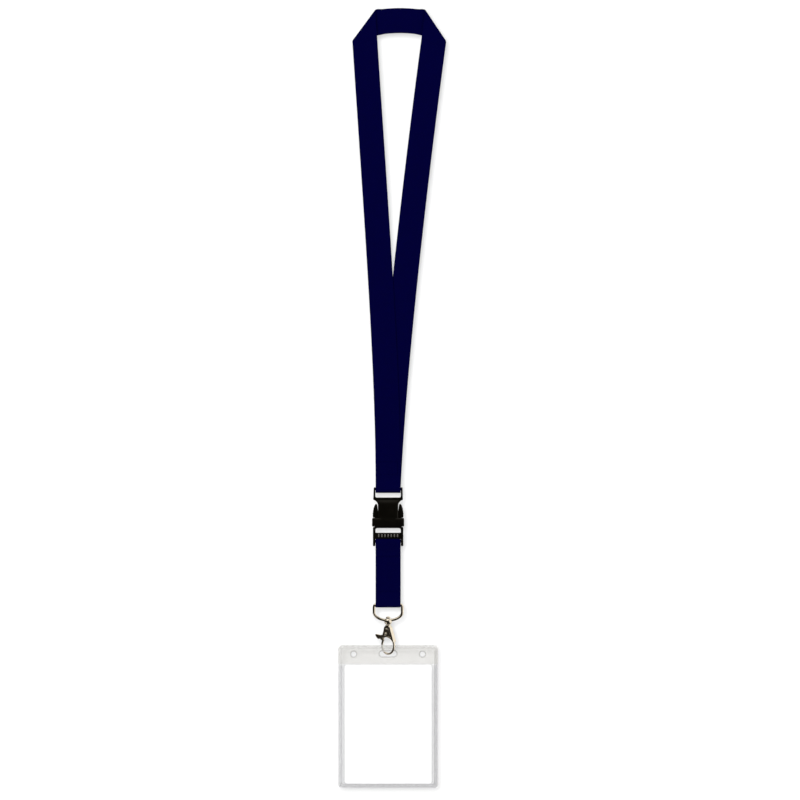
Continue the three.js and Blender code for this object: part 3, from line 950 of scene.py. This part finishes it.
# ---- buckle
FRAME_HALF = 11.85
SLOT_HALF = 10.2
SLOT_BOTTOM = -371.4
FRAME_BOTTOM = -373.6
BAR_RADIUS = 1.2
NECK_HALF = 8.1
MOUTH_TOP = -387.8
MOUTH_BOTTOM = -394.6
MOUTH_HALF = 12.85
BORE_HALF = 11.2
BORE_DEPTH = 1.7
ROOF = -375.7


def section(half_wide, half_deep, radius, crown=0.0, count=5):
    """A rounded rectangle across the buckle, as points (x, y), its broad faces slightly crowned."""
    points = []
    for sx, sy, start in ((1, -1, -90), (1, 1, 0), (-1, 1, 90), (-1, -1, 180)):
        cx, cy = sx * (half_wide - radius), sy * (half_deep - radius)
        points += arc(cx, cy, radius, radius, start, start + 90, count)
        if sx == 1 and sy == 1 or sx == -1 and sy == -1:
            steps = [cx * (1 - (i + 1) / 5) for i in range(9)]
            points += [(x, sy * half_deep) for x in steps]
    return [(x, y * (1 + crown * (1 - min(abs(x) / half_wide, 1) ** 2))) for x, y in points]


def stacked(name, stages):
    """A moulding lofted through sections at heights: (z, half width, half depth, radius, crown)."""
    return loft(name, [[(x, y, z) for x, y in section(w, d, r, c)] for z, w, d, r, c in stages])


def socket_frame():
    top = BAR_Z + BAR_RADIUS
    right = [
        *arc(FRAME_HALF - 1, FRAME_BOTTOM + 1, 1, 1, -90, 0, 5),
        *arc(FRAME_HALF - 0.9, top - 0.6, 0.6, 0.6, 0, 90, 5),
        *arc(SLOT_HALF + 0.3, top - 0.3, 0.3, 0.3, 90, 180, 3),
        *arc(SLOT_HALF - 1.2, SLOT_BOTTOM + 1.2, 1.2, 1.2, 0, -90, 6),
    ]
    return plate("socket_frame", [mirrored(right)], -1.7, 1.7, 0.3)


def make_socket(plastic):
    neck = stacked("socket_neck", [
        (-372.3, 10.9, 1.4, 0.5, 0), (-373.4, 10.7, 1.7, 0.6, 0.02), (-374.2, 9.9, 1.95, 0.7, 0.04),
        (-375.0, 9.1, 2.2, 0.9, 0.06), (-376.0, 8.45, 2.4, 1.0, 0.07), (-377.4, 8.15, 2.5, 1.1, 0.08),
        (-379, NECK_HALF, 2.55, 1.1, 0.08), (-386, NECK_HALF, 2.6, 1.1, 0.08),
        (-388.6, 8.3, 2.6, 1.1, 0.08),
    ])
    mouth = stacked("socket_mouth", [
        (MOUTH_TOP, 12.3, 2.35, 0.9, 0.05), (MOUTH_TOP - 0.3, 12.65, 2.6, 1.0, 0.05),
        (MOUTH_TOP - 1.2, MOUTH_HALF, 2.8, 1.2, 0.05), (MOUTH_BOTTOM + 0.7, MOUTH_HALF, 2.85, 1.2, 0.05),
        (MOUTH_BOTTOM + 0.2, 12.65, 2.7, 1.0, 0.05), (MOUTH_BOTTOM, 12.35, 2.5, 0.9, 0.05),
    ])
    rod = side_rod("socket_bar", BAR_RADIUS, 11.2, BAR_Z)
    body = combine(socket_frame(), [rod, neck, mouth], "UNION")
    bore = block("bore", (-BORE_HALF, -BORE_DEPTH, MOUTH_BOTTOM - 2),
                 (BORE_HALF, BORE_DEPTH, MOUTH_TOP + 2))
    chamber = block("chamber", (-20, -BORE_DEPTH, MOUTH_TOP), (20, BORE_DEPTH, ROOF))
    body = cut(body, bore, chamber)
    body.name = "socket_shell"
    dress(shade(body, 38), "socket", "buckle", plastic, "buckle_socket")


PLUG_HALF = 12.15
PLUG_TOP = -395.0
PLUG_BOTTOM = -410.2
PLUG_SLOT_TOP = -395.8
PLUG_SLOT_BOTTOM = -399.6
PLUG_LEG_INSIDE = 10.2
TOOTH_BOTTOM = -404.4
TEETH = 7
TOOTH_PITCH = 2.5
TOOTH_MIDDLE = -401.7
TOOTH_FACE = -1.68  # the teeth stand further forward than this
RIBBON_ROOM = 2.6
ARM_HALF_DEEP = 1.4
GRIP_RIBS = (-380.2, -382.2, -384.2)


def plug_frame():
    right = [
        *arc(PLUG_HALF - 0.9, PLUG_TOP - 0.9, 0.9, 0.9, 90, 0, 5),
        *arc(PLUG_HALF - 0.6, PLUG_BOTTOM + 0.6, 0.6, 0.6, 0, -90, 4),
        *arc(PLUG_LEG_INSIDE + 0.5, PLUG_BOTTOM + 0.5, 0.5, 0.5, -90, -180, 4),
        *arc(PLUG_LEG_INSIDE - 0.6, TOOTH_BOTTOM - 0.6, 0.6, 0.6, 0, 90, 4),
    ]
    slot = mirrored([
        *arc(8.6, PLUG_SLOT_TOP - 1.5, 1.5, 1.5, 90, 0, 5),
        *arc(9.7, PLUG_SLOT_BOTTOM + 0.4, 0.4, 0.4, 0, -90, 3),
    ])
    return plate("plug_frame", [mirrored(right), slot], -1.6, 1.6, 0.25)


def tooth(x):
    """A rounded rib that grips the ribbon, standing out of the plug's cross bar."""
    reach, half_wide, proud, middle_y = 1.5, 0.6, 0.85, -1.3
    rings = []
    for s in end_to_end(8):
        size = math.sqrt(max(1 - 0.94 * s**4, 0.02))
        centre = (x, middle_y, TOOTH_MIDDLE + reach * s)
        rings.append((centre, (half_wide * size, 0, 0), (0, proud * size, 0)))
    return skin("tooth", rings, 14)


def make_plug(plastic, rubbed):
    tongue = mirrored([(2.2, -394.3), (2.2, -381.4), (1.1, -379.4)])
    tongue = plate("plug_tongue", [tongue], -1.2, 1.2, 0.25)
    root = block("plug_root", (-10.8, -1.4, PLUG_TOP - 0.5), (10.8, 1.4, -393.8))
    teeth = [tooth((i - (TEETH - 1) / 2) * TOOTH_PITCH) for i in range(TEETH)]
    rod = side_rod("plug_bar", BAR_RADIUS, PLUG_HALF - 0.7, PLUG_BAR_Z)
    room = side_rod("ribbon_room", RIBBON_ROOM, PLUG_LEG_INSIDE, PLUG_BAR_Z)
    body = combine(cut(plug_frame(), room), [root, tongue, rod, *teeth], "UNION")
    body.name = "plug_shell"
    dress(shade(body, 38), "plug", "buckle", plastic, "buckle_plug")
    # rubbed is the teeth's plastic, painted lighter grey as a painted highlight
    body.data.materials.append(rubbed)
    for polygon in body.data.polygons:
        centre = polygon.center / MM
        on_tooth = centre.y < TOOTH_FACE and abs(centre.z - TOOTH_MIDDLE) < 2
        polygon.material_index = 1 if on_tooth else 0


def rounded_outline(points, count=5):
    """A closed smooth curve through the points."""
    size, smooth = len(points), []
    for i in range(size):
        p = [Vector(points[(i + k - 1) % size]) for k in range(4)]
        for n in range(count):
            t = n / count
            smooth.append(tuple(0.5 * (
                2 * p[1] + (p[2] - p[0]) * t + (2 * p[0] - 5 * p[1] + 4 * p[2] - p[3]) * t * t
                + (3 * p[1] - p[0] - 3 * p[2] + p[3]) * t**3)))
    return smooth


def grip_rib(side, z):
    """A low rib across an arm's outer edge, which leans outwards going down."""
    x = side * (11.85 + (z + 382) * -0.14)
    rings = []
    for s in end_to_end(8):
        y = s * 1.15
        size = math.sqrt(max(1 - (y / 1.25) ** 2, 0.02))
        rings.append(((x, y, z), (side * 0.3 * size, 0, 0), (0, 0, 0.36 * size)))
    return skin("rib", rings, 12)


def make_arm(side, plastic):
    """A sprung arm, its pad curving beside the socket's neck, with three shallow grip ribs."""
    name = "left" if side < 0 else "right"
    outline = rounded_outline([
        (8.0, -393.4), (9.2, -393.5), (10.45, -393.3), (10.5, -391), (10.5, -388.6), (10.8, -387.6),
        (11.9, -387.4), (12.25, -386.6), (12.25, -385), (11.95, -382), (11.4, -379.2), (10.6, -377.3),
        (9.8, -376.5), (9.1, -376.8), (8.65, -378), (8.4, -380), (8.05, -382.5), (8.0, -386),
        (8.0, -391),
    ])
    mirrored_outline = [(side * x, z) for x, z in outline]
    pad = plate("arm_pad_" + name, [mirrored_outline], -ARM_HALF_DEEP, ARM_HALF_DEEP, 0.45)
    body = combine(pad, [grip_rib(side, z) for z in GRIP_RIBS], "UNION")
    body.name = "arm_" + name
    dress(shade(body, 40), "arm_" + name, "buckle", plastic, "release_arm_" + name)


# ---- ring and hook
RING_WIRE = 1.1
RING_HALF = 11.3
RING_CORNER_WIDE = 1.3
RING_CORNER_TALL = 2.2
RING_BELLY_Z = -463.2
RING_DROP = 6.4
HUB_Z = -470.6
HUB_RADIUS = 3.05
HUB_FLAT = 2.5
HUB_BORE = 1.25


def make_ring(nickel):
    corner_x = RING_HALF - RING_CORNER_WIDE
    corner_z = RING_BAR_Z - RING_CORNER_TALL
    path = [
        *arc(corner_x, corner_z, RING_CORNER_WIDE, RING_CORNER_TALL, 90, 0, 10),
        *arc(0, RING_BELLY_Z, RING_HALF, RING_DROP, 0, -180, 80),
        *arc(-corner_x, corner_z, RING_CORNER_WIDE, RING_CORNER_TALL, 180, 90, 10),
    ]
    wire_loop = bar("ring_wire", path, 2 * RING_WIRE, 2 * RING_WIRE, 24, endless=True)
    limit = math.degrees(math.asin(HUB_FLAT / HUB_RADIUS))
    ball = [
        (HUB_BORE - 0.4, HUB_Z - HUB_FLAT), *arc(0, HUB_Z, HUB_RADIUS, HUB_RADIUS, -limit, limit, 20),
        (HUB_BORE - 0.4, HUB_Z + HUB_FLAT),
    ]
    hub = turned("ring_hub", ball)
    bore = turned("bore", [(HUB_BORE, HUB_Z - 5), (HUB_BORE, HUB_Z + 5)])
    body = cut(combine(wire_loop, [hub], "UNION"), bore)
    body.name = "strap_ring_wire"
    dress(shade(body, 50), "ring", "nickel", nickel, "strap_ring")


HOOK_TURN = math.radians(-32)
HOOK_CENTRE = -489.6
HOOK_HALF_WIDE = 5.6
HOOK_HALF_TALL = 6.9
HOOK_WIRE = 1.7
HOOK_DEPTH = 2.0
GATE_DEPTH = 1.5
GATE_FOOT = -494.6
PIVOT_U = -1.3
PIVOT_Z = -480.6
PIVOT_RADIUS = 1.0
CHEEK_OUT = 2.1
RECESS_FLOOR = 1.65
PIN_SHANK = 0.9
PIN_HEAD = 1.9


def swivelled(obj):
    """Turned about the Z axis to where the hook rests."""
    obj.data.transform(Matrix.Rotation(HOOK_TURN, 4, "Z"))
    return obj


def make_pin(nickel):
    under_head = HUB_Z + HUB_FLAT + 0.3
    dome = arc(0, under_head + 0.25, PIN_HEAD, 1.1, 0, 80, 8)
    pin = turned("swivel_rivet", [
        (PIN_SHANK - 0.25, -475.2), (PIN_SHANK, -475.0), (PIN_SHANK, under_head),
        (PIN_HEAD - 0.1, under_head), *dome,
    ])
    dress(shade(swivelled(pin), 45), "hook", "nickel", nickel, "swivel_pin")


def pivot_hole():
    """The hole for the gate's rivet, to cut with."""
    return cross_pin("pivot_hole", [(PIVOT_RADIUS, -5), (PIVOT_RADIUS, 5)], PIVOT_U, PIVOT_Z)


def make_hook(nickel):
    """The cast body: a collar, a flanged and recessed cheek each side, and the fixed bar."""
    outline = rounded_outline([
        (-2.5, -474.7), (0, -474.5), (2.5, -474.7), (3.6, -478), (4.9, -482), (5.9, -485.2),
        (6.1, -486.6), (5.2, -486.9), (3.2, -484.6), (0, -483.2), (-3, -483.4), (-4.6, -483.4),
        (-4.1, -480.6), (-3.2, -477.4),
    ], 4)
    body = plate("hook_cheeks", [outline], -CHEEK_OUT, CHEEK_OUT, 0.4)
    collar = turned("hook_collar", [
        (2.2, -476.5), (2.45, -476.0), (2.45, -474.2), (2.3, -473.6), (1.9, -473.4),
    ])
    gate_slot = block("gate_slot", (-20, -1.1, -500), (2.6, 1.1, -477))
    face = rounded_outline([
        (-1.8, -476.3), (0, -476.1), (1.3, -476.4), (2.5, -479.6), (3.8, -483.0), (0, -482.6),
        (-4.6, -483.9), (-4.2, -481.4), (-3.0, -478.4),
    ], 4)
    recesses = [
        plate("recess_front", [face], -3.2, -RECESS_FLOOR, 0.1),
        plate("recess_back", [face], RECESS_FLOOR, 3.2, 0.1),
    ]
    half_wire = HOOK_WIRE / 2
    inner = arc(0, HOOK_CENTRE, HOOK_HALF_WIDE - half_wire, HOOK_HALF_TALL - half_wire, 0, 360, 48)[:-1]
    opening = plate("opening", [inner], -5, 5, 0.1)
    pin_hole = turned("pin_hole", [(1.2, -475.6), (1.2, -470)])
    rivet_hole = pivot_hole()
    body = cut(body, gate_slot, *recesses, opening)
    sweep = arc(0, HOOK_CENTRE, HOOK_HALF_WIDE, HOOK_HALF_TALL, 58, -138, 56)
    fixed = bar("hook_bar", sweep, HOOK_WIRE, HOOK_DEPTH, 24, swell=0.5)
    fixed = cut(fixed, block("above_tip", (-8, -5, GATE_FOOT - 0.35), (-1, 5, HOOK_CENTRE)))
    body = combine(body, [collar, fixed], "UNION")
    body = cut(body, pin_hole, rivet_hole)
    body = cast(body, 0.075, 3, 0.3)
    body.name = "hook_casting"
    dress(swivelled(body), "hook", "nickel", nickel, "hook_body")


def make_gate(nickel):
    """The sprung gate: a curved bar closing on the hook's tip, with a thumb lever outside."""
    sweep = arc(0, HOOK_CENTRE, HOOK_HALF_WIDE, HOOK_HALF_TALL, 138, 236, 34)
    gate_bar = bar("gate_bar", sweep, HOOK_WIRE, GATE_DEPTH, 24)
    gate_bar = cut(gate_bar, block("below_foot", (-10, -5, GATE_FOOT - 10), (10, 5, GATE_FOOT)))
    thumb = plate("gate_thumb", [rounded_outline([
        (-4.4, -481.6), (-6.6, -481.6), (-9.0, -481.3), (-11.2, -481.0), (-11.8, -481.8),
        (-10.9, -483.5), (-9.2, -484.9), (-7.2, -484.8), (-5.9, -486.0), (-4.6, -485.4),
    ], 4)], -0.75, 0.75, 0.25)
    web = plate("gate_web", [rounded_outline([
        (PIVOT_U - 0.6, -478.7), (-3.4, -479.9), (-5.3, -482), (-5.6, -485), (-4.7, -485.5),
        (-3.3, -483.5), (-0.9, -482.5), (PIVOT_U + 1.65, -481.6), (PIVOT_U + 1.6, -479.5),
    ], 4)], -0.1, 0.75, 0.12)
    body = combine(gate_bar, [thumb, web], "UNION")
    body = cut(body, pivot_hole())
    body = cast(body, 0.065, 2, 0.35)
    body.name = "gate_casting"
    dress(swivelled(body), "gate", "nickel", nickel, "gate_lever")


def make_rivet(nickel):
    """A tubular rivet: a shank, and a rolled head with a dimple on each cheek."""
    under, shank = RECESS_FLOOR + 0.3, 0.7
    head = [(0.3, 0.28), (0.62, 0.5), (0.9, 0.62), (1.15, 0.55), (1.33, 0.3), (1.35, 0.1), (1.25, 0.0)]
    steps = [(r, -under - h) for r, h in head]
    steps += [(shank, -under), (shank, under)]
    steps += [(r, under + h) for r, h in reversed(head)]
    rivet = cross_pin("gate_rivet_head", steps, PIVOT_U, PIVOT_Z, 32)
    dress(shade(swivelled(rivet), 40), "hook", "nickel", nickel, "gate_rivet")


def tube(name, points, radius, sides=10):
    """A round wire along points in space."""
    up = Vector((0, 1, 0))
    rings = []
    for i, p in enumerate(points):
        along = (points[min(i + 1, len(points) - 1)] - points[max(i - 1, 0)]).normalized()
        side = along.cross(up).normalized()
        up = side.cross(along).normalized()
        rings.append((p, side * radius, up * radius))
    return skin(name, rings, sides)


def make_spring(steel):
    """A torsion spring round the rivet: one leg on the gate, the other in the body."""
    coil, front, pitch, turns = 1.3, -0.88, 0.27, 2
    points = [Vector((PIVOT_U + coil, front, PIVOT_Z + drop)) for drop in (2.4, 1.8, 1.2, 0.6)]
    for i in range(turns * 32 + 1):
        a = 2 * math.pi * i / 32
        points.append(Vector((
            PIVOT_U + coil * math.cos(a), front + pitch * i / 32, PIVOT_Z - coil * math.sin(a))))
    back = front + pitch * turns
    points += [Vector((PIVOT_U + coil, back, PIVOT_Z - drop)) for drop in (0.5, 1.0, 1.6)]
    spring = tube("gate_spring_wire", points, 0.13)
    dress(shade(swivelled(spring), 60), "hook", "spring_steel", steel, "gate_spring")


# ---- pouch and card
POUCH_HALF = 40.0
POUCH_TOP = -489.4
POUCH_BOTTOM = -603.8
POUCH_CORNER = 3.2
SHEET = 0.3
LAYER_PITCH = 0.42
WELD = 3.0
HEADER_BOTTOM = -504.6
FRONT_TOP = -505.0
HEADER_HOLE_X = 27.5
HEADER_HOLE_Z = -496.7
HEADER_HOLE = 2.1
HEADER_SLOT_HALF = 6.8
HEADER_SLOT_LOW = -498.6
HEADER_SLOT_HIGH = -494.3
HEADER_SLOT_ROUND = 2.1
CUT_SHADE_ENDS = 3.1  # from the middle of a cut, where its painted shade fades out
CUT_SHADE_FULL = 2.4
FILM_EDGE = 0.08


def pouch_rim(inset=0.0):
    return rounded(-POUCH_HALF + inset, POUCH_BOTTOM + inset, POUCH_HALF - inset, POUCH_TOP - inset,
                   POUCH_CORNER - inset * 0.5, 8)


def header_cuts():
    """The hook's slot and the two round holes, as outlines."""
    slot = rounded(-HEADER_SLOT_HALF, HEADER_SLOT_LOW, HEADER_SLOT_HALF, HEADER_SLOT_HIGH,
                   HEADER_SLOT_ROUND, 8)
    holes = [
        arc(x, HEADER_HOLE_Z, HEADER_HOLE, HEADER_HOLE, 0, 360, 32)[:-1]
        for x in (-HEADER_HOLE_X, HEADER_HOLE_X)
    ]
    return [slot, *holes]


def layer(name, outlines, place):
    middle = place * LAYER_PITCH
    return plate(name, outlines, middle - SHEET / 2, middle + SHEET / 2, FILM_EDGE)


def dress_film(obj, slot, face, rim, *nodes):
    """Vinyl film is clear through its faces and denser seen into its cut edges."""
    dress(obj, "pouch", slot, face, *nodes)
    obj.data.materials.append(rim)
    for polygon in obj.data.polygons:
        polygon.material_index = 0 if abs(polygon.normal.y) > 0.999 else 1


def on_front_sheet(obj):
    """Moved forward to lie half sunk in the front sheet's face."""
    obj.data.transform(Matrix.Translation((0, (-LAYER_PITCH - SHEET / 2) * MM, 0)))
    return obj


def weld_bead(name, inset, wide, proud):
    """A low welded ridge down both sides and along the bottom, on the front sheet."""
    left, low = -POUCH_HALF + inset, POUCH_BOTTOM + inset
    radius = max(POUCH_CORNER - inset * 0.5, 1.0)
    path = [
        (left, FRONT_TOP - 0.6), (left, (FRONT_TOP + low) / 2),
        *arc(left + radius, low + radius, radius, radius, 180, 270, 8), (0, low),
        *arc(-left - radius, low + radius, radius, radius, 270, 360, 8),
        (-left, (FRONT_TOP + low) / 2), (-left, FRONT_TOP - 0.6),
    ]
    return on_front_sheet(bar(name, path, wide, 2 * proud, 10))


def corner_mark(side):
    """The mitred fold mark of the weld in a bottom corner."""
    path = [(side * (POUCH_HALF - x), POUCH_BOTTOM + z)
            for x, z in ((3.4, 3.6), (2.5, 3.1), (1.8, 2.5), (1.3, 1.7), (1.1, 1.0))]
    return on_front_sheet(bar("corner_mark", path, 0.5, 0.3, 8))


def make_pouch(clear, backing, frosted, rim):
    back = layer("pouch_back", [pouch_rim(), *header_cuts()], 1)
    dress_film(back, "clear_vinyl", backing, rim, "pouch_back_sheet")
    pocket = rounded(-POUCH_HALF + WELD, POUCH_BOTTOM + WELD, POUCH_HALF - WELD, POUCH_TOP - WELD, 1.5)
    weld = layer("pouch_weld", [pouch_rim(), pocket], 0)
    dress_film(weld, "clear_vinyl", backing, rim, "pouch_edge_weld")
    full = pouch_rim()
    right = [(x, z) for x, z in full if z < FRONT_TOP and x > 0]
    left = [(x, z) for x, z in full if z < FRONT_TOP and x <= 0]
    front = [*right, (POUCH_HALF, FRONT_TOP), (-POUCH_HALF, FRONT_TOP), *left]
    front = layer("pouch_front", [front], -1)
    dress_film(front, "clear_vinyl", clear, rim, "pouch_front_sheet")
    above = [(x, z) for x, z in full if z > HEADER_BOTTOM]
    header = layer("pouch_header", [
        [(-POUCH_HALF, HEADER_BOTTOM), (POUCH_HALF, HEADER_BOTTOM), *above], *header_cuts()], -1)
    dress_film(header, "frosted_vinyl", frosted, frosted, "pouch_header_strip")
    beads = [weld_bead("outer_bead", 1.5, 0.55, 0.09), weld_bead("inner_bead", 2.9, 0.8, 0.07)]
    marks = [corner_mark(-1), corner_mark(1)]
    seam = joined("pouch_seam", [*beads, *marks])
    dress(shade(seam, 60), "pouch", "clear_vinyl", rim)


def make_card(paper):
    low, high = [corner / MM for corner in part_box("card_insert")]
    card = layer("card_sheet", [rounded(low.x, low.z, high.x, high.z, 2, 8)], 0)
    dress(card, "card", "card", paper, "card_insert")


bpy.context.scene.view_settings.view_transform = "Standard"
camera = make_camera()
make_world()
stage = make_stage()
make_lights(camera, stage)

cloth = ribbon_material()
thread = thread_material()
plastic = plastic_material()
nickel = metal_material("nickel_plate", (0.62, 0.57, 0.5), (0.86, 0.82, 0.75), (0.1, 0.2))
spring_steel = metal_material("spring_steel", (0.4, 0.4, 0.4), (0.6, 0.6, 0.6), (0.22, 0.34))
clear_vinyl = vinyl_material("clear_vinyl", (0.72, 0.72, 0.73), 0.05, 0.08, 0.12)
backing_vinyl = vinyl_material("backing_vinyl", (0.72, 0.72, 0.735), 0.14, 0.17, 0.2)
frosted_vinyl = header_material()
vinyl_rim = vinyl_material("vinyl_rim", (0.6, 0.6, 0.615), 0.13, 0.16, 0.2)
paper = paper_material()

make_neck_ribbon(cloth, thread)
make_short_ribbon(cloth, thread)

make_socket(plastic)
make_plug(plastic, tooth_highlight_plastic_material())
make_arm(-1, plastic)
make_arm(1, plastic)
make_ring(nickel)
make_pin(nickel)
make_hook(nickel)
make_gate(nickel)
make_rivet(nickel)
make_spring(spring_steel)
make_pouch(clear_vinyl, backing_vinyl, frosted_vinyl, vinyl_rim)
make_card(paper)
